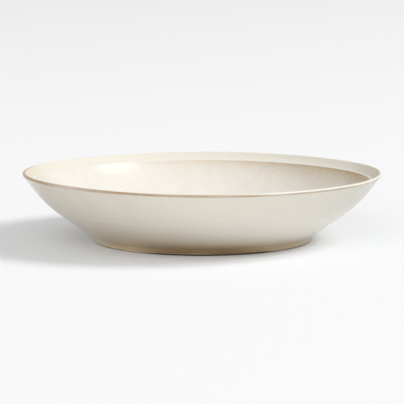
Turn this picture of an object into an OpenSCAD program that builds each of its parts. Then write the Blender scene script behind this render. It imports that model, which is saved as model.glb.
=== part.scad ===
// Low, wide serving bowl in glazed stoneware: a thrown clay body on a bare foot ring, coated with
// a pale glaze inside, outside and underneath, with a brown band where the glaze thins on the lip.
// Lengths are in millimetres. The bowl stands on z = 0 and turns about the Z axis.

/* [Bowl] */
// Diameter over the rim
rim_d = 330; // [306:1:356]
// Height from the table to the top of the rim
height = 63; // [54:0.5:74]

/* [Wall] */
// Thickness of the clay in the wall
wall_t = 3.8; // [3:0.1:5.5]
// Thickness of the clay in the floor
floor_t = 6; // [4:0.1:9]
// Distance in from the rim to the belly, where the wall turns up
belly_in = 19.5; // [16:0.5:24]
// Depth of the belly below the rim
belly_drop = 27.5; // [25:0.5:32]
// Radius of the turn at the belly
belly_r = 115; // [40:1:140]
// Radius between the floor and the wall, inside
well_r = 70; // [20:1:90]

/* [Lip] */
// Thickness of the rounded lip, over its glaze
lip_t = 3; // [2.4:0.1:4]
// Distance in from the rim to the hollow of the gallery behind the lip
gallery_in = 6.3; // [5.5:0.1:7.5]
// Depth of that hollow below the rim
gallery_drop = 5.2; // [4.5:0.1:6]
// Radius of that hollow
gallery_r = 16; // [6:0.5:24]
// Distance in from the rim to the edge of the gallery
ledge_in = 10.4; // [9.5:0.1:12]
// Depth of that edge below the rim
ledge_drop = 7.4; // [6.8:0.1:8.5]
// Rounding of that edge
ledge_r = 1.1; // [0.9:0.1:2]
// Height of the step under that edge
step_h = 2.6; // [2:0.1:4]
// Radius where the step runs into the wall
step_r = 4; // [2:0.5:8]

/* [Foot] */
// Diameter of the foot at the table
foot_d = 202; // [178:1:216]
// Diameter of the foot at its top, where the wall starts
foot_top_d = 206; // [188:1:222]
// Height of the foot, up to the wall
foot_h = 5.5; // [4:0.1:9]
// Height of the foot's top that belongs to the body, above the ring
collar_h = 0.5; // [0.4:0.1:1.2]
// Width of the foot ring, from its inner side to the middle of the foot's sloping side
foot_w = 9.5; // [6.5:0.5:15]
// Rounding of the foot ring's lower edges
foot_edge_r = 1.5; // [0.5:0.1:2.2]
// Radius between the foot and the wall
cove_r = 2; // [0.5:0.1:3]

/* [Glaze] */
// Thickness of the glaze coats
glaze_t = 0.5; // [0.3:0.05:0.7]
// Height of the bare clay below the glaze on the foot
bare_h = 2; // [1.5:0.1:3]
// Height of the brown band on the wall, below the lip's rounding
band_w = 0.5; // [0.3:0.1:3]

/* [Hidden] */

// Greatest gap between a round stretch and the short straight stretches that draw it
facet = 0.02;
// Segments of a full turn about the axis
turn_fn = 180;

// Colours of the fired clay, the pale glaze and the band on the lip
clay_color = [0.70, 0.60, 0.47];
glaze_color = [0.89, 0.87, 0.81];
band_color = [0.71, 0.63, 0.52];

// Unit vector from one point to another, and a vector turned a quarter turn to the left
function along(a, b) = (b - a) / norm(b - a);
function left(v) = [-v.y, v.x];
function flip(list) = [for (i = [len(list) - 1 : -1 : 0]) list[i]];
function join(lists) = [for (list = lists, item = list) item];
function all_but_last(list) = [for (i = [0 : len(list) - 2]) list[i]];
// A vector turned by an angle
function turned(v, angle) = [v.x * cos(angle) - v.y * sin(angle), v.x * sin(angle) + v.y * cos(angle)];

// A line of corners [r, z, blend radius] has its clay on the left as it is followed.
function at(line, i) = [line[i][0], line[i][1]];
function into(line, i) = along(at(line, i - 1), at(line, i));
function out_of(line, i) = along(at(line, i), at(line, i + 1));
// Angle that the line turns through at a corner, positive to the left
function turn(line, i) = let (u = into(line, i), v = out_of(line, i))
    atan2(u.x * v.y - u.y * v.x, u.x * v.x + u.y * v.y);
function is_end(line, i) = i == 0 || i == len(line) - 1;
// Length that a corner's blend takes from each stretch beside it
function reach(line, i) = is_end(line, i) ? 0 : line[i][2] * tan(abs(turn(line, i)) / 2);
// Share of a blend that fits where two blends share a stretch
function share(line, i) =
    min(1, norm(at(line, i + 1) - at(line, i)) / (reach(line, i) + reach(line, i + 1)));
function blend_r(line, i) = line[i][2] * min(share(line, i - 1), share(line, i));

// Points of the blend at a corner, on the surface that lies deeper in the clay by the given depth
function blend(line, i, depth = 0) = let (
        u = into(line, i),
        v = out_of(line, i),
        angle = turn(line, i),
        side = sign(angle),
        corner = at(line, i) + depth * (left(u) + left(v)) / (1 + u * v),
        radius = blend_r(line, i) - side * depth,
        start = corner - u * radius * tan(abs(angle) / 2),
        centre = start + left(u) * radius * side,
        steps = max(2, ceil(abs(angle) / (2 * acos(1 - min(1, facet / radius)))))
    ) [for (k = [0 : steps]) centre + turned(start - centre, angle * k / steps)];
function blends(line, first, last, depth = 0) = join([for (i = [first : last]) blend(line, i, depth)]);

// Rim: the lip is a round nose that touches the rim's diameter and its height
rim_r = rim_d / 2;
nose_r = lip_t / 2;
nose = [rim_r - nose_r, height - nose_r];

// Outside: foot, belly and the straight stretch that runs up to the nose
foot_low = [foot_d / 2, 0];
foot_top = [foot_top_d / 2, foot_h];
belly = [rim_r - belly_in, height - belly_drop];
to_nose = nose - belly;
rim_lean = atan2(to_nose.y, to_nose.x) - asin(nose_r / norm(to_nose));
rim_dir = [cos(rim_lean), sin(rim_lean)];
wall_dir = along(foot_top, belly);

// Inside: gallery and its edge, then the wall and the floor at their thickness over the glaze
gallery = [rim_r - gallery_in, height - gallery_drop];
from_nose = nose - gallery;
lip_lean = atan2(from_nose.y, from_nose.x) + asin(nose_r / norm(from_nose));
ledge = [rim_r - ledge_in, height - ledge_drop];
coated_t = wall_t + 2 * glaze_t;
well_belly = belly + coated_t * (left(wall_dir) + left(rim_dir)) / (1 + wall_dir * rim_dir);
step_z = ledge.y - step_h;
step_low = well_belly + rim_dir * (step_z - well_belly.y) / rim_dir.y;
ring_h = foot_h - collar_h;
floor_z = ring_h + floor_t + glaze_t;
well_edge = well_belly - wall_dir * (well_belly.y - floor_z) / wall_dir.y;

// The glazed surface in section, from the foot over the lip to the middle of the floor
surface = [
    [foot_low.x, foot_low.y, 0],
    [foot_top.x, foot_top.y, cove_r],
    [belly.x, belly.y, belly_r],
    [nose.x + nose_r / tan(rim_lean / 2), height, nose_r],
    [nose.x - nose_r * tan(lip_lean / 2), height, nose_r],
    [gallery.x, gallery.y, gallery_r],
    [ledge.x, ledge.y, ledge_r],
    [step_low.x, step_low.y, step_r],
    [well_belly.x, well_belly.y, belly_r - coated_t],
    [well_edge.x, well_edge.y, well_r],
    [0, floor_z, 0]
];
// Names of those corners in the same order, and the blends from one named corner to another at a depth
CORNERS = [
    "table", "foot", "belly", "lip_out", "lip_in", "gallery", "ledge", "step", "well_belly", "well", "middle"
];
function nth(name) = search([name], CORNERS)[0];
function stretch(first, last, depth) = blends(surface, nth(first), nth(last), depth);

// Lines of a coat at a depth: up the wall to the band, over the outer lip, and the inside
foot_dir = along(foot_low, foot_top);
function glaze_line(depth) = foot_low + foot_dir * bare_h / foot_dir.y + left(foot_dir) * depth;
function band_low(depth) = stretch("lip_out", "lip_out", depth)[0] - rim_dir * band_w;
function outside(depth) = concat([glaze_line(depth)], stretch("foot", "belly", depth), [band_low(depth)]);
function lip(depth) = concat([band_low(depth)], stretch("lip_out", "lip_out", depth));
function inside(depth) = concat(stretch("lip_in", "well", depth), [[0, floor_z - depth]]);

// Radius of the clay on the foot's outer side at a height, under the glaze
function foot_side(z) = (foot_low + foot_dir * z / foot_dir.y).x - glaze_t / foot_dir.y;
ring_in_r = (foot_d + foot_top_d) / 4 - foot_w;

// A coat between the glazed surface and the clay
module coat(outer, clay) {
    rotate_extrude($fn = turn_fn) polygon(concat(outer, flip(clay)));
}

// Fired clay: floor, wall, gallery and lip. The crown ends the outer lip and starts the inside.
module clay_body() {
    section = concat(
        [[0, ring_h], [foot_side(ring_h), ring_h]],
        stretch("foot", "belly", glaze_t),
        all_but_last(stretch("lip_out", "lip_out", glaze_t)),
        inside(glaze_t)
    );
    color(clay_color) rotate_extrude($fn = turn_fn) polygon(section);
}

// Ring of bare clay that the bowl stands on, joined to the underside of the body
module foot_ring() {
    outline = [
        [ring_in_r, ring_h, 0],
        [ring_in_r, 0, foot_edge_r],
        [foot_side(0), 0, foot_edge_r],
        [foot_side(ring_h), ring_h, 0]
    ];
    section = concat([at(outline, 0)], blends(outline, 1, 2), [at(outline, 3)]);
    color(clay_color) rotate_extrude($fn = turn_fn) polygon(section);
}

// Pale coat from the top of the lip, over the gallery and down to the floor
module inner_glaze() {
    color(glaze_color) coat(inside(0), inside(glaze_t));
}

// Pale coat from the bare foot up to the brown band
module outer_glaze() {
    color(glaze_color) coat(outside(0), outside(glaze_t));
}

// Brown band on the outer side of the lip, where the glaze is thin
module rim_band() {
    color(band_color) coat(lip(0), lip(glaze_t));
}

// Pale coat on the underside of the floor, inside the foot ring
module under_glaze() {
    color(glaze_color) translate([0, 0, ring_h - glaze_t])
        cylinder(h = glaze_t, r = ring_in_r, $fn = turn_fn);
}

clay_body();
foot_ring();
inner_glaze();
outer_glaze();
rim_band();
under_glaze();
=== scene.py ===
import math
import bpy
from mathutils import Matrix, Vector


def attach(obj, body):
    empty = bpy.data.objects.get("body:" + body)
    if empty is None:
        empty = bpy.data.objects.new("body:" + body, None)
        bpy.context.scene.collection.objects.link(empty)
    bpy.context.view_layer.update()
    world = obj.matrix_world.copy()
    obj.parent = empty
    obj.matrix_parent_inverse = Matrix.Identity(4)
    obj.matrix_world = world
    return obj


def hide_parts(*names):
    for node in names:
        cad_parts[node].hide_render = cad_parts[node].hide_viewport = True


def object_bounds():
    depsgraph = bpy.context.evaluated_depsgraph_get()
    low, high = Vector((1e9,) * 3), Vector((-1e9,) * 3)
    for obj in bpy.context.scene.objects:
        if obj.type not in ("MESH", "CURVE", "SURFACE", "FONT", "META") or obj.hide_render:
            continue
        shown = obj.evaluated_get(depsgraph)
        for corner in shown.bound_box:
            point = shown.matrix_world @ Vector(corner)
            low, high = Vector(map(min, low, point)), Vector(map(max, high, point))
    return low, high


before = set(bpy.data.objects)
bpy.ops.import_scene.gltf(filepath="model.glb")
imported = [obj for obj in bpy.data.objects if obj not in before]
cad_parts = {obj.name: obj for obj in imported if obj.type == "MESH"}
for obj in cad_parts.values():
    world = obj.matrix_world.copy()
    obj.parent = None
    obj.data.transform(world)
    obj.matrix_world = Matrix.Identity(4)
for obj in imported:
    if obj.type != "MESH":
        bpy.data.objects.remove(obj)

from types import SimpleNamespace
import bpy
import bmesh
import numpy
from mathutils import Vector

cadLow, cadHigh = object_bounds()
mm = 0.001


# Drawing and throwing

bowl = {                     # sizes in mm; the rim's radius and the height come from the frame
    "footRadius": 101.0,     # at the table
    "footTopRadius": 103.0,  # where the wall starts
    "footHeight": 5.5,
    "footCove": 2.0,
    "collar": 0.5,           # top of the foot that belongs to the body, above the ring
    "bellyIn": 19.5,         # places are in from the rim and down from it
    "bellyDrop": 27.5,
    "bellyRound": 115.0,
    "lip": 3.0,
    "galleryIn": 6.3,
    "galleryDrop": 5.2,
    "galleryRound": 16.0,
    "ledgeIn": 10.4,
    "ledgeDrop": 7.4,
    "ledgeRound": 1.1,
    "step": 2.6,
    "stepRound": 4.0,
    "wall": 3.8,
    "floor": 6.0,
    "wellRound": 70.0,
    "glaze": 0.5,
}


def left(way):
    return Vector((-way.y, way.x))


# corners of the bowl's section as (radius, height, rounding) in mm, from the table over the lip to the axis
def sectionCorners():
    rim = Vector((cadHigh.x, cadHigh.z)) / mm
    nose = bowl["lip"] / 2
    noseMid = rim - Vector((nose, nose))
    footTop = Vector((bowl["footTopRadius"], bowl["footHeight"]))
    belly = rim - Vector((bowl["bellyIn"], bowl["bellyDrop"]))
    gallery = rim - Vector((bowl["galleryIn"], bowl["galleryDrop"]))
    ledge = rim - Vector((bowl["ledgeIn"], bowl["ledgeDrop"]))

    # the wall and the gallery touch the round lip at these slopes
    up, over = noseMid - belly, noseMid - gallery
    wallLean = math.atan2(up.y, up.x) - math.asin(nose / up.length)
    lipLean = math.atan2(over.y, over.x) + math.asin(nose / over.length)
    rising = Vector((math.cos(wallLean), math.sin(wallLean)))
    sloping = (belly - footTop).normalized()

    # inside, the wall and the floor follow at their thickness
    thick = bowl["wall"] + 2 * bowl["glaze"]
    wellBelly = belly + thick * (left(sloping) + left(rising)) / (1 + sloping.dot(rising))
    floorTop = bowl["footHeight"] - bowl["collar"] + bowl["floor"] + bowl["glaze"]
    step = wellBelly + rising * (ledge.y - bowl["step"] - wellBelly.y) / rising.y
    well = wellBelly - sloping * (wellBelly.y - floorTop) / sloping.y
    return {
        "table": (bowl["footRadius"], 0.0, 0.0),
        "foot": (*footTop, bowl["footCove"]),
        "belly": (*belly, bowl["bellyRound"]),
        "lipOut": (noseMid.x + nose / math.tan(wallLean / 2), rim.y, nose),
        "lipIn": (noseMid.x - nose * math.tan(lipLean / 2), rim.y, nose),
        "gallery": (*gallery, bowl["galleryRound"]),
        "ledge": (*ledge, bowl["ledgeRound"]),
        "step": (*step, bowl["stepRound"]),
        "wellBelly": (*wellBelly, bowl["bellyRound"] - thick),
        "well": (*well, bowl["wellRound"]),
        "middle": (0.0, floorTop, 0.0),
    }


section = sectionCorners()
throwing = {
    "sectors": 16,           # a sector is spun first, then copied round
    "sectorSteps": 16,
    "arcStep": 4.0,          # degrees of an arc between two points of the section
    "arcLeast": 3,           # fewest steps of an arc
    "leastTurn": 1e-4,       # a corner that turns less, in radians, stays a corner
    "shortest": 1e-6,        # a shorter straight stretch is left out
    "longest": 2.2 * mm,     # longest straight stretch between two points
    "merge": 2e-6,           # points nearer to each other become one
    "sharpAngle": 40.0,
}
hand = {                     # how far the thrown clay is from a true round, at the rim
    # waves round the rim: height in mm and direction of a crest in degrees
    "lift": {1: (0.60, -100.0), 2: (0.41, 24.0), 3: (0.44, -30.0), 5: (0.12, 6.5)},
    "oval": 0.35 * mm,
    "ovalTurn": 0.8,         # radians
    "wobble": 0.12 * mm,
    "ringDepth": 0.05 * mm,  # throwing rings that wind up the wall
    "ringPitch": 8.5 * mm,
    "ringStart": 8.0 * mm,   # height where they start
    "ringGrow": 10.0 * mm,   # height in which they grow to their depth
    "stillRadius": 20.0 * mm,        # the shift shrinks inside this radius, to nothing on the axis
}


def turnAt(before, corner, after):
    into = Vector((corner[0] - before[0], corner[1] - before[1])).normalized()
    outOf = Vector((after[0] - corner[0], after[1] - corner[1])).normalized()
    return into, outOf, math.atan2(into.x * outOf.y - into.y * outOf.x, into.dot(outOf))


# the same line deeper in the clay, which is on the left of the line
def sunk(line, depth):
    moved = []
    for before, corner, after in zip([None] + line[:-1], line, line[1:] + [None]):
        into, outOf, turn = turnAt(before or corner, corner, after or corner)
        into, outOf = (into if before else outOf), (outOf if after else into)
        shift = left(into + outOf) * depth / (1 + into.dot(outOf))
        rounding = corner[2] - math.copysign(depth, turn) if corner[2] else 0.0
        moved.append((corner[0] + shift.x, corner[1] + shift.y, rounding))
    return moved


# a wire through the corners: straight stretches are extruded, rounded corners are spun
def drawLine(bm, line, closed):
    def straightTo(tip, r, z):
        if (tip.co - Vector((r, 0, z))).length < throwing["shortest"]:
            return tip
        end = bmesh.ops.extrude_vert_indiv(bm, verts=[tip])["verts"][0]
        end.co = (r, 0, z)
        return end

    start = tip = bm.verts.new((line[0][0], 0, line[0][1]))
    for before, corner, after in zip(line, line[1:], line[2:]):
        into, _, turn = turnAt(before, corner, after)
        reach = corner[2] * math.tan(abs(turn) / 2)
        tip = straightTo(tip, corner[0] - into.x * reach, corner[1] - into.y * reach)
        if corner[2] and abs(turn) > throwing["leastTurn"]:
            side = math.copysign(corner[2], turn)
            centre = tip.co + Vector((-into.y * side, 0, into.x * side))
            steps = max(throwing["arcLeast"], round(math.degrees(abs(turn)) / throwing["arcStep"]))
            arc = bmesh.ops.spin(bm, geom=[tip], cent=centre, axis=(0, -1, 0), angle=turn, steps=steps)
            tip = arc["geom_last"][0]
    tip = straightTo(tip, line[-1][0], line[-1][1])
    if closed:
        bm.edges.new((tip, start))
    for edge in bm.edges[:]:
        cuts = int(edge.calc_length() / throwing["longest"])
        if cuts:
            bmesh.ops.subdivide_edges(bm, edges=[edge], cuts=cuts)


# bends places on the bowl as thrown, one row each, to where the potter's hands left them
def handShift(places):
    x, y, z = places.T
    angle = numpy.arctan2(y, x)
    radius = numpy.hypot(x, y)
    high = numpy.clip(z / cadHigh.z, 0, None) ** 2
    lift = sum(mm * size * numpy.cos(waves * (angle - math.radians(crest)))
               for waves, (size, crest) in hand["lift"].items())
    out = hand["oval"] * numpy.cos(2 * angle + hand["ovalTurn"]) + hand["wobble"] * numpy.cos(3 * angle)
    ring = hand["ringDepth"] * numpy.sin(angle + 2 * math.pi * z / hand["ringPitch"])
    ring *= numpy.clip((z - hand["ringStart"]) / hand["ringGrow"], 0, 1) * (1 - high)
    grow = 1 + (out * high + ring) / numpy.maximum(radius, hand["stillRadius"])
    return numpy.column_stack([x * grow, y * grow, z + lift * high])


# spins a line into a piece, keeps each point's place as thrown, then bends it by hand
def throwPiece(name, line, finish, node, closed=True, shape=None):
    bm = bmesh.new()
    drawLine(bm, line, closed)
    axis = dict(cent=(0, 0, 0), axis=(0, 0, 1))
    sector = 2 * math.pi / throwing["sectors"]
    copies = throwing["sectors"] - 1
    bmesh.ops.spin(bm, geom=bm.verts[:] + bm.edges[:], angle=sector, steps=throwing["sectorSteps"], **axis)
    every = bm.verts[:] + bm.edges[:] + bm.faces[:]
    bmesh.ops.spin(bm, geom=every, angle=sector * copies, steps=copies, use_duplicate=True, **axis)
    bmesh.ops.remove_doubles(bm, verts=bm.verts[:], dist=throwing["merge"])
    bmesh.ops.recalc_face_normals(bm, faces=bm.faces[:])
    mesh = bpy.data.meshes.new(name)
    bm.to_mesh(mesh)
    bm.free()
    places = numpy.empty(len(mesh.vertices) * 3)
    mesh.vertices.foreach_get("co", places)
    mesh.attributes.new("thrown", "FLOAT_VECTOR", "POINT").data.foreach_set("vector", places)
    places = places.reshape(-1, 3)
    if shape:
        places = shape(places)
    mesh.vertices.foreach_set("co", handShift(places).ravel())
    mesh.shade_smooth()
    mesh.set_sharp_from_angle(angle=math.radians(throwing["sharpAngle"]))
    mesh.materials.append(finish)
    piece = bpy.data.objects.new(name, mesh)
    bpy.context.collection.objects.link(piece)
    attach(piece, "root")
    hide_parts(node)
    print(name, len(mesh.polygons), "faces")


# Finishes

class Wire:                  # a socket that takes part in an expression
    def __init__(self, finish, socket):
        self.finish = finish
        self.socket = socket

    def also(self, output):  # another output of the same node
        return Wire(self.finish, self.socket.node.outputs[output])

    def math(self, operation, first, second):
        return self.finish.node("ShaderNodeMath", {"operation": operation}, {0: first, 1: second})

    def __add__(self, other):
        return self.math("ADD", self, other)

    def __radd__(self, other):
        return self.math("ADD", other, self)

    def __sub__(self, other):
        return self.math("SUBTRACT", self, other)

    def __rsub__(self, other):
        return self.math("SUBTRACT", other, self)

    def __mul__(self, other):
        return self.math("MULTIPLY", self, other)

    def __rmul__(self, other):
        return self.math("MULTIPLY", other, self)

    def __truediv__(self, other):
        return self.math("DIVIDE", self, other)

    def __rtruediv__(self, other):
        return self.math("DIVIDE", other, self)

    def __pow__(self, other):
        return self.math("POWER", self, other)

    def __rpow__(self, other):
        return self.math("POWER", other, self)


class Finish:                # a material or a world and the nodes in it
    def __init__(self, owner):
        self.owner = owner
        owner.use_nodes = True
        self.tree = owner.node_tree
        self.tree.nodes.clear()

    def node(self, kind, settings=None, sockets=None, output=0):
        made = self.tree.nodes.new(kind)
        for key, value in (settings or {}).items():
            setattr(made, key, value)
        for key, value in (sockets or {}).items():
            if isinstance(value, Wire):
                self.tree.links.new(value.socket, made.inputs[key])
            else:
                made.inputs[key].default_value = value
        return Wire(self, made.outputs[output]) if made.outputs else None

    # from 0 at the low value to 1 at the high one
    def rise(self, value, low, high):
        return self.node("ShaderNodeMapRange", {"interpolation_type": "SMOOTHSTEP"},
                         {"Value": value, "From Min": low, "From Max": high})

    def fall(self, value, low, high):
        return 1 - self.rise(value, low, high)

    def noise(self, place, scale, detail, roughness=0.5):
        return self.node("ShaderNodeTexNoise", None,
                         {"Vector": place, "Scale": scale, "Detail": detail, "Roughness": roughness})

    # the node's colours are its inputs 6 and 7 and its output 2
    def mix(self, amount, first, second):
        return self.node("ShaderNodeMix", {"data_type": "RGBA"}, {0: amount, 6: first, 7: second}, 2)

    # 1 where the camera sees it, directly, in gloss or through glass
    def inView(self):
        seen = self.node("ShaderNodeLightPath", None, None, "Is Camera Ray")
        for ray in ("Is Glossy Ray", "Is Transmission Ray"):
            seen = seen.math("MAXIMUM", seen, self.node("ShaderNodeLightPath", None, None, ray))
        return seen

    # where a point of the bowl was as thrown, in mm, and which way it lies from the axis
    def thrownPlace(self):
        thrown = self.node("ShaderNodeAttribute", {"attribute_name": "thrown"}, None, "Vector")
        place = self.node("ShaderNodeVectorMath", {"operation": "SCALE"}, {0: thrown, "Scale": 1 / mm})
        level = self.node("ShaderNodeVectorMath", {"operation": "MULTIPLY"}, {0: place, 1: (1, 1, 0)})
        around = self.node("ShaderNodeVectorMath", {"operation": "NORMALIZE"}, {0: level})
        return SimpleNamespace(
            place=place,
            height=self.node("ShaderNodeSeparateXYZ", None, {0: place}, "Z"),
            radius=self.node("ShaderNodeVectorMath", {"operation": "LENGTH"}, {0: level}, "Value"),
            around=around,
            sideways=self.node("ShaderNodeSeparateXYZ", None, {0: around}, "X"))

    def finish(self, color, roughness, relief, depth):
        bump = self.node("ShaderNodeBump", None, {
            "Strength": 1.0, "Distance": depth * mm, "Height": relief})
        shader = self.node("ShaderNodeBsdfPrincipled", None, {
            "Base Color": color, "Roughness": roughness, "Normal": bump})
        self.node("ShaderNodeOutputMaterial", None, {"Surface": shader})
        return self.owner


# noise swinging to both sides of nothing
def swing(noise, size):
    return size * (noise - 0.5)


# in these finishes lengths are in mm, a pair without a note holds two values between which something grows
# or fades, and places round the bowl run from 0 at its left end to 1 at its right end

# painted light and shade on the outer wall: paler towards the lit right, a grey painted shade high up at
# the right end
wallLightAndShade = {
    "pale": (0.783, 0.742, 0.653, 1),
    "paleRange": (0.0, 0.6),
    "paleMost": 0.85,
    "grey": (0.570, 0.550, 0.500, 1),
    "greyRange": (0.78, 1.0),
    "greyHeights": (20.0, 48.0),
    "greyMost": 0.75,
}


# the outside is painted paler towards the lit right and left darker at the shaded left, and greyer high up
# at the right end as painted shade
def paintWallLightAndShade(finish, at, color):
    pale = finish.rise(at.right, *wallLightAndShade["paleRange"])
    color = finish.mix(wallLightAndShade["paleMost"] * pale, color, wallLightAndShade["pale"])
    grey = finish.rise(at.right, *wallLightAndShade["greyRange"]) * finish.rise(at.height, *wallLightAndShade["greyHeights"])
    return finish.mix(wallLightAndShade["greyMost"] * grey, color, wallLightAndShade["grey"])


ledgeBreakAndShade = {
    "peach": (0.63, 0.41, 0.19, 1),
    "gold": (0.47, 0.33, 0.165, 1),
    "goldRange": (0.5, 0.8),
    "growth": 1.5,           # power with which the break grows towards the right
    "fade": (1.5, 12.5),     # depth in which it fades, at the left and the right end
    "streaks": 0.8,
    "mottles": 0.5,
    "start": 0.2,            # below the ledge
    "startRange": (-0.35, 0.25),
    "outRange": (0.4, 1.0),  # further out than the ledge, where it stops
    "cream": (0.790, 0.752, 0.644, 1),       # in the gallery
    "creamMost": 0.7,
    # painted shade at the far right end: the break deepens there and tints the gallery
    "rightRange": (0.93, 1.0),
    "rightShadeMore": 0.35,
    "rightGalleryShade": 0.3,
    "leftRange": (0.0, 0.045),
    "leftGallery": 0.16,
    "leftWall": 0.18,
    "leftDepths": (0.0, 12.0),
}


# the inside breaks to peach and gold under the ledge, more and deeper towards the right, and is tinted by
# the same colours at both ends, in the gallery too; at the far right end the deeper break and the gallery's
# tint are painted shade
def breakAndShadeUnderLedge(finish, at, gallery, color):
    ledgeRadius, ledgeHeight = section["ledge"][:2]
    depth = ledgeHeight - ledgeBreakAndShade["start"] - at.height
    below = finish.rise(depth, *ledgeBreakAndShade["startRange"])
    below = below * finish.fall(at.radius - ledgeRadius, *ledgeBreakAndShade["outRange"])
    grown = at.right ** ledgeBreakAndShade["growth"]
    shortest, longest = ledgeBreakAndShade["fade"]
    fade = (shortest + (longest - shortest) * grown) * (1 + swing(at.streak, ledgeBreakAndShade["streaks"]))
    thin = grown * below * math.e ** (-1 * depth / fade)

    shadedRightEnd = finish.rise(at.right, *ledgeBreakAndShade["rightRange"])
    leftEnd = finish.fall(at.right, *ledgeBreakAndShade["leftRange"])
    leftWall = ledgeBreakAndShade["leftWall"] * below * finish.fall(depth, *ledgeBreakAndShade["leftDepths"])
    thin = thin * (1 + swing(at.mottle, ledgeBreakAndShade["mottles"])) * (1 + ledgeBreakAndShade["rightShadeMore"] * shadedRightEnd)
    thin = thin + ledgeBreakAndShade["rightGalleryShade"] * shadedRightEnd * gallery
    thin = thin + leftEnd * (ledgeBreakAndShade["leftGallery"] * gallery + leftWall)
    color = finish.mix(ledgeBreakAndShade["creamMost"] * gallery, color, ledgeBreakAndShade["cream"])
    golden = finish.rise(at.right, *ledgeBreakAndShade["goldRange"])
    return finish.mix(thin, color, finish.mix(golden, ledgeBreakAndShade["peach"], ledgeBreakAndShade["gold"]))


# a glaze break at the foot with painted shade and painted light over it
footBreakAndShade = {                # sides are squares of a direction: 0 at the front and the back, 1 at both ends
    "tan": (0.52, 0.389, 0.2375, 1),
    "tanHeights": (4.5, 31.5),
    "tanMost": 0.93,
    "tanSides": (0.5, 0.95),
    "tanLess": 0.75,         # weaker at the ends, but not so much at the right one: painted light
    "tanLessRight": 0.4,
    # brown: partly glaze tint, partly painted shade under the belly at the front and the back
    "brown": (0.275, 0.173, 0.072, 1),
    "brownHeights": (3.5, 19.0),
    "brownSides": (0.02, 0.4),
    # painted light: a lighter, golden lower edge of the glaze at the ends
    "edge": (0.77, 0.62, 0.42, 1),
    "edgeHeights": (2.4, 4.2),
    "edgeSides": (0.25, 0.6),
    "edgeMost": 0.6,
    "shrink": (0.7, 0.6, 1.1),       # heights count for more towards the right: least, evenly, late
    "latePower": 4,
    "leftDrop": 4.0,         # lowers it again at the left end
    "streaks": 1.5,
    "mottles": 3.0,
}


# the outside breaks to tan above the foot, high on the left and low on the right, to brown at the front and
# the back, partly thin glaze and partly painted shade low on the wall and under the belly; it is weaker at
# the ends and its thin lower edge is golden there, which is painted light
def breakAndShadeAboveFoot(finish, at, color):
    aside = at.sideways * at.sideways
    least, even, late = footBreakAndShade["shrink"]
    ragged = at.height * (least + even * at.right + late * at.right ** footBreakAndShade["latePower"])
    ragged = ragged + footBreakAndShade["leftDrop"] * (1 - at.right)
    ragged = ragged + swing(at.streak, footBreakAndShade["streaks"]) + swing(at.mottle, footBreakAndShade["mottles"])
    less = footBreakAndShade["tanLess"] - footBreakAndShade["tanLessRight"] * at.right
    most = footBreakAndShade["tanMost"] - finish.rise(aside, *footBreakAndShade["tanSides"]) * less
    color = finish.mix(most * finish.fall(ragged, *footBreakAndShade["tanHeights"]), color, footBreakAndShade["tan"])
    brown = finish.fall(aside, *footBreakAndShade["brownSides"]) * finish.fall(ragged, *footBreakAndShade["brownHeights"])
    color = finish.mix(brown, color, footBreakAndShade["brown"])
    edge = finish.rise(aside, *footBreakAndShade["edgeSides"]) * finish.fall(at.height, *footBreakAndShade["edgeHeights"])
    return finish.mix(footBreakAndShade["edgeMost"] * edge, color, footBreakAndShade["edge"])


lipLine = {
    "color": (0.41, 0.26, 0.125, 1),
    "heights": (59.9, 61.3),
    "radii": (163.7, 164.5),
    "tops": (63.6, 61.7),    # upper limit on the left and on the right; the lower one leaves the pale crown on the right, a painted highlight
    "topRange": (-0.3, 0.3),
    "rightRange": (0.42, 0.72),
    "leftRange": (0.1, 0.35),
    "endRange": (0.0, 0.12),
    "drop": 0.5,             # lower on the left and on the right than in the middle and at the left end
    "wrap": 1.2,             # further in at the left end
    "wrapRange": (0.0, 0.05),
    "streaks": 0.5,
    "mottles": 0.3,
    "amount": 0.38,
    "leftLess": 0.18,
    # painted light: the line is weaker on the lit right
    "rightLess": 0.15,
    "endMore": 0.5,
    "drift": 0.85,
    "driftScale": 5.0,
    "driftDetail": 2.0,
}


# a brown line on the lip, where the glaze is thin, under a pale crown on the right; the pale crown and the
# weaker line on the lit right are a painted highlight
def drawLip(finish, at, color):
    rightward = finish.rise(at.right, *lipLine["rightRange"])
    leftward = finish.fall(at.right, *lipLine["leftRange"])
    leftEnd = finish.fall(at.right, *lipLine["endRange"])
    uneven = swing(at.mottle, lipLine["mottles"])
    ragged = at.height + lipLine["drop"] * (rightward + leftward - leftEnd)
    ragged = ragged + swing(at.streak, lipLine["streaks"]) + uneven
    wrapped = at.radius + lipLine["wrap"] * finish.fall(at.right, *lipLine["wrapRange"])
    leftTop, rightTop = lipLine["tops"]
    top = leftTop + (rightTop - leftTop) * rightward
    lip = finish.rise(ragged, *lipLine["heights"]) * finish.rise(wrapped + uneven, *lipLine["radii"])
    lip = lip * finish.fall(at.height - top, *lipLine["topRange"])
    drift = finish.noise(at.around, lipLine["driftScale"], lipLine["driftDetail"])
    amount = lipLine["amount"] - lipLine["leftLess"] * leftward - lipLine["rightLess"] * rightward
    amount = amount + lipLine["drift"] * drift + lipLine["endMore"] * leftEnd
    return finish.mix(lip * amount, color, lipLine["color"])


flecks = {
    "color": (0.36, 0.30, 0.23, 1),
    "cell": 4.5,
    "sizes": (0.04, 0.10),   # shares of a cell, at the core and at the edge
    "chances": (0.5, 0.6),   # about half of the cells stay without one
    "most": 0.55,
}


def addFlecks(finish, at, color):
    spot = finish.node("ShaderNodeTexVoronoi", None,
                       {"Vector": at.place, "Scale": 1 / flecks["cell"]}, "Distance")
    chance = finish.node("ShaderNodeSeparateColor", None, {0: spot.also("Color")})
    fleck = finish.fall(spot, *flecks["sizes"]) * finish.rise(chance, *flecks["chances"])
    return finish.mix(flecks["most"] * fleck, color, flecks["color"])


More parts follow.
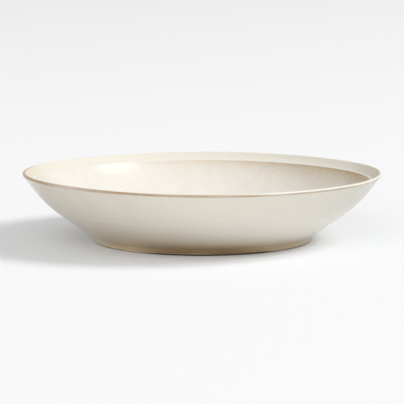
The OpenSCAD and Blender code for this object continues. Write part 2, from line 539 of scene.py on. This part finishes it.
glaze = {
    "cream": (0.742, 0.692, 0.594, 1),
    "creamDeep": (0.697, 0.643, 0.541, 1),
    # painted light: a paler copy of the same glaze for the inside, which faces the lamps
    "creamLitInside": (0.840, 0.812, 0.745, 1),
    "creamLitInsideDeep": (0.795, 0.765, 0.690, 1),
    "deepRange": (0.35, 0.68),
    "cloudShare": 0.6,
    "mottleShare": 0.4,
    "cloudSize": 30.0,
    "mottleSize": 5.0,
    "mottleGrit": 0.6,
    "streakScale": 14.0,     # how finely it streaks round the bowl
    "detail": 3.0,
    "peelSize": 1.3,
    "peelDetail": 1.0,
    "peelDepth": 0.012,
    "mottleDepth": 3.0,      # times the peel's
    "roughness": 0.13,
    "cloudRoughness": 0.12,
    "mottleRoughness": 0.05,
    "galleryRoughness": 0.4,         # how much drier it is behind the lip, where it is thin
    "galleryHeights": (55.5, 57.0),
}


# the pale glaze, paler inside as painted light, thin and tan where it breaks over an edge, brown on the lip
def glazeFinish(name, underLedge=False, overFoot=False, onLip=False):
    finish = Finish(bpy.data.materials.new(name))
    at = finish.thrownPlace()
    at.right = 0.5 + 0.5 * at.sideways
    at.mottle = finish.noise(at.place, 1 / glaze["mottleSize"], glaze["detail"], glaze["mottleGrit"])
    at.streak = finish.noise(at.around, glaze["streakScale"], glaze["detail"])
    cloud = finish.noise(at.place, 1 / glaze["cloudSize"], glaze["detail"])
    deep = finish.rise(glaze["cloudShare"] * cloud + glaze["mottleShare"] * at.mottle, *glaze["deepRange"])
    roughness = glaze["roughness"] + glaze["cloudRoughness"] * cloud + glaze["mottleRoughness"] * at.mottle
    # the inside and the underside take the paler copy, which is painted light
    cream = "cream" if overFoot else "creamLitInside"
    color = finish.mix(deep, glaze[cream], glaze[cream + "Deep"])
    if underLedge:
        gallery = finish.rise(at.height, *glaze["galleryHeights"])
        color = breakAndShadeUnderLedge(finish, at, gallery, color)
        roughness = roughness + glaze["galleryRoughness"] * gallery
    if overFoot:
        color = breakAndShadeAboveFoot(finish, at, paintWallLightAndShade(finish, at, color))
    if onLip:
        color = drawLip(finish, at, color)
    color = addFlecks(finish, at, color)
    peel = finish.noise(at.place, 1 / glaze["peelSize"], glaze["peelDetail"])
    return finish.finish(color, roughness, peel + glaze["mottleDepth"] * at.mottle, glaze["peelDepth"])


clay = {
    "color": (0.86, 0.68, 0.47, 1),
    "dark": (0.74, 0.57, 0.38, 1),
    "darkRange": (0.35, 0.7),
    "cloudSize": 14.0,
    "detail": 3.0,
    "grog": (0.88, 0.76, 0.60, 1),
    "grogRange": (0.52, 0.7),
    "grogMost": 0.6,
    "grogSize": 0.9,
    "grogGrit": 0.65,
    "grogDepth": 0.05,
    # painted contact shade along the lower edge of the foot, where it meets the table
    "contactShade": (0.045, 0.032, 0.018, 1),
    "contactShadeHeights": (0.8, 3.0),
    "contactShadeMiddle": 0.08,     # sideways, a little right of the front
    "contactShadeSides": (0.18, 0.42),      # squares of the way from there, where it gets weaker and lower
    "sideLess": 0.25,
    "sideLower": 1.2,
    "roughness": 0.78,
    "grogRoughness": 0.15,
}


# bare clay with grog, and painted contact shade dark along its lower edge, most of all at the front and the
# back
def clayFinish(name):
    finish = Finish(bpy.data.materials.new(name))
    at = finish.thrownPlace()
    cloud = finish.noise(at.place, 1 / clay["cloudSize"], clay["detail"])
    grog = finish.noise(at.place, 1 / clay["grogSize"], clay["detail"], clay["grogGrit"])
    color = finish.mix(finish.rise(cloud, *clay["darkRange"]), clay["color"], clay["dark"])
    color = finish.mix(clay["grogMost"] * finish.rise(grog, *clay["grogRange"]), color, clay["grog"])
    aside = at.sideways - clay["contactShadeMiddle"]
    side = finish.rise(aside * aside, *clay["contactShadeSides"])
    contactShade = finish.fall(at.height * (1 + clay["sideLower"] * side), *clay["contactShadeHeights"])
    color = finish.mix((1 - clay["sideLess"] * side) * contactShade, color, clay["contactShade"])
    return finish.finish(color, clay["roughness"] + clay["grogRoughness"] * grog, grog, clay["grogDepth"])


innerGlaze = glazeFinish("innerGlaze", underLedge=True, onLip=True)
outerGlaze = glazeFinish("outerGlaze", overFoot=True, onLip=True)
lipGlaze = glazeFinish("lipGlaze", onLip=True)
underGlaze = glazeFinish("underGlaze")
bareClay = clayFinish("bareClay")
print("finishes made")


# Pieces

foot = {
    "ringWidth": 9.5 * mm,   # from its inner side to the middle of the foot's sloping side
    "edge": 1.5 * mm,
    "glazeLine": 2.0 * mm,   # height of the bare clay
    "wander": {3: (0.25, 0.4), 8: (0.15, 2.0), 19: (0.1, 0.0)},      # waves: height in mm, start in radians
    "wanderReach": 2.5 * mm,
}
lipBand = {
    "below": 0.5 * mm,       # brown band on the wall under the lip's rounding
}

whole = [tuple(mm * size for size in corner) for corner in section.values()]
table, footTop, belly, lipOut, lipIn = whole[:5]
glazeThick = bowl["glaze"] * mm
ringTop = (bowl["footHeight"] - bowl["collar"]) * mm
ringInner = (table[0] + footTop[0]) / 2 - foot["ringWidth"]


def coatLine(line):
    return line + sunk(line, glazeThick)[::-1]


def along(a, b, share):
    return (a[0] + (b[0] - a[0]) * share, a[1] + (b[1] - a[1]) * share, 0.0)


# where the outer coat stops: at the bare foot, and at the band under the lip, which ends on the lip's crown
glazeLine = along(table, footTop, foot["glazeLine"] / footTop[1])
into, _, turn = turnAt(belly, lipOut, lipIn)
lipReach = lipOut[2] * math.tan(turn / 2)
bandStart = lipReach + lipBand["below"]
bandLow = (lipOut[0] - into.x * bandStart, lipOut[1] - into.y * bandStart, 0.0)
crown = (lipOut[0] - lipReach, lipOut[1], 0.0)


# lets the glaze's lower edge wander up and down the foot
def wander(places):
    x, y, z = places.T
    angle = numpy.arctan2(y, x)
    drift = sum(mm * size * numpy.sin(waves * angle + start)
                for waves, (size, start) in foot["wander"].items())
    near = numpy.clip(1 - abs(z - foot["glazeLine"]) / foot["wanderReach"], 0, None)
    return numpy.column_stack([x, y, z + drift * near])


outside = coatLine([glazeLine, footTop, belly, bandLow])
throwPiece("outerCoat", outside, outerGlaze, "outer_glaze", shape=wander)
throwPiece("lipCoat", coatLine([bandLow, lipOut, crown]), lipGlaze, "rim_band")
inside = coatLine([crown] + whole[4:])
throwPiece("innerCoat", inside, innerGlaze, "inner_glaze", closed=False)

deep = sunk(whole, glazeThick)
footSide = along(deep[0], deep[1], ringTop / deep[1][1])
body = [(0.0, ringTop, 0.0), footSide] + deep[1:]
throwPiece("clayBody", body, bareClay, "clay_body", closed=False)

ringFoot = along(deep[0], deep[1], -deep[0][1] / (deep[1][1] - deep[0][1]))
ring = [
    (ringInner, ringTop, 0.0),
    (ringInner, 0.0, foot["edge"]),
    (ringFoot[0], 0.0, foot["edge"]),
    footSide,
]
throwPiece("footRing", ring, bareClay, "foot_ring")

underside = [
    (0.0, ringTop - glazeThick, 0.0),
    (ringInner, ringTop - glazeThick, 0.0),
    (ringInner, ringTop, 0.0),
    (0.0, ringTop, 0.0),
]
throwPiece("underCoat", underside, underGlaze, "under_glaze", closed=False)


# Studio

studio = {                   # lengths in m
    "floorReach": 7.0,
    "floorHole": 0.098,      # under the foot ring, so that the underside is lit where it is seen from below
    "floorSides": 96,
    "floorNear": (0.92, 0.921, 0.923, 1),
    "floorFar": (0.895, 0.896, 0.898, 1),
    "floorFade": 2.5,        # distance behind the bowl in which the floor gets darker, painted shade of light falling off
    "floorCool": (0.903, 0.926, 0.959, 1),
    "coolReach": (0.12, 0.25),       # evens out the warm light that the bowl throws on the floor beside it
    "floorGlow": 0.1,        # share of plain white that the camera sees in the floor
    "fill": 0.68,            # light of the world on the scene
    "backdrop": 0.93,        # what the camera and the reflections see beyond the floor
}
lamps = {                    # turn from the right, rise and roll in degrees, width, height and power
    "key": (-3.0, 42.0, 0.0, 9.0, 4.0, 1720.0),
    "shine": (0.0, 53.6, -30.0, 8.2, 1.6, 480.0),
    "front": (-106.0, 26.0, 0.0, 14.5, 14.5, 1130.0),
}
lampDistance = 20.0
view = {
    "distance": 2.0,
    "rise": 7.87,            # degrees
    "pivot": 0.032,          # height on the axis that the distance and the rise are measured from
    "aim": 0.0343,           # height on the axis that the camera looks at
    "lens": 192.7,
    "reach": 50.0,
}

bm = bmesh.new()
for radius in (studio["floorHole"], studio["floorReach"]):
    bmesh.ops.create_circle(bm, segments=studio["floorSides"], radius=radius)
bmesh.ops.bridge_loops(bm, edges=bm.edges[:])
bm.normal_update()
bmesh.ops.reverse_faces(bm, faces=[face for face in bm.faces if face.normal.z < 0])
floorMesh = bpy.data.meshes.new("floor")
bm.to_mesh(floorMesh)
bm.free()
floor = bpy.data.objects.new("floor", floorMesh)
bpy.context.collection.objects.link(floor)
paper = Finish(bpy.data.materials.new("paper"))
spot = paper.node("ShaderNodeTexCoord", None, None, "Object")
back = paper.node("ShaderNodeSeparateXYZ", None, {0: spot}, "Y")
# painted shade: the floor darkens behind the bowl
shade = paper.mix(paper.rise(back, 0.0, studio["floorFade"]), studio["floorNear"], studio["floorFar"])
away = paper.node("ShaderNodeVectorMath", {"operation": "LENGTH"}, {0: spot}, "Value")
shade = paper.mix(paper.rise(away, *studio["coolReach"]), studio["floorCool"], shade)
matte = paper.node("ShaderNodeBsdfDiffuse", None, {"Color": shade})
white = paper.node("ShaderNodeEmission", None, {"Strength": studio["backdrop"]})
whiteShare = studio["floorGlow"] * paper.inView()
lit = paper.node("ShaderNodeMixShader", None, {0: whiteShare, 1: matte, 2: white})
clear = paper.node("ShaderNodeBsdfTransparent")
fromBelow = paper.node("ShaderNodeNewGeometry", None, None, "Backfacing")
sheet = paper.node("ShaderNodeMixShader", None, {0: fromBelow, 1: lit, 2: clear})
paper.node("ShaderNodeOutputMaterial", None, {"Surface": sheet})
floorMesh.materials.append(paper.owner)

air = Finish(bpy.data.worlds.new("studio"))
bpy.context.scene.world = air.owner
strength = studio["fill"] + (studio["backdrop"] - studio["fill"]) * air.inView()
glow = air.node("ShaderNodeBackground", None, {"Strength": strength})
air.node("ShaderNodeOutputWorld", None, {"Surface": glow})


def aimed(obj, place, target):
    obj.location = place
    obj.rotation_euler = (target - place).to_track_quat("-Z", "Y").to_euler()


for name, (turn, rise, roll, wide, tall, power) in lamps.items():
    light = bpy.data.lights.new(name, "AREA")
    light.shape = "RECTANGLE"
    light.size, light.size_y = wide, tall
    light.energy = power
    lamp = bpy.data.objects.new(name, light)
    lamp.visible_camera = False
    lamp.visible_glossy = name != "key"      # the shine lamp makes the highlight on that side
    bpy.context.collection.objects.link(lamp)
    turn, rise = math.radians(turn), math.radians(rise)
    level = math.cos(rise)
    toward = Vector((level * math.cos(turn), level * math.sin(turn), math.sin(rise)))
    aimed(lamp, toward * lampDistance, Vector())
    lamp.rotation_euler.rotate_axis("Z", math.radians(roll))

camera = bpy.data.objects.new("camera", bpy.data.cameras.new("camera"))
bpy.context.collection.objects.link(camera)
camera.data.lens = view["lens"]
camera.data.clip_end = view["reach"]
rise = math.radians(view["rise"])
toward = Vector((0, -math.cos(rise), math.sin(rise)))
aimed(camera, Vector((0, 0, view["pivot"])) + view["distance"] * toward, Vector((0, 0, view["aim"])))
bpy.context.scene.camera = camera
bpy.context.scene.view_settings.view_transform = "Standard"
print("studio set")
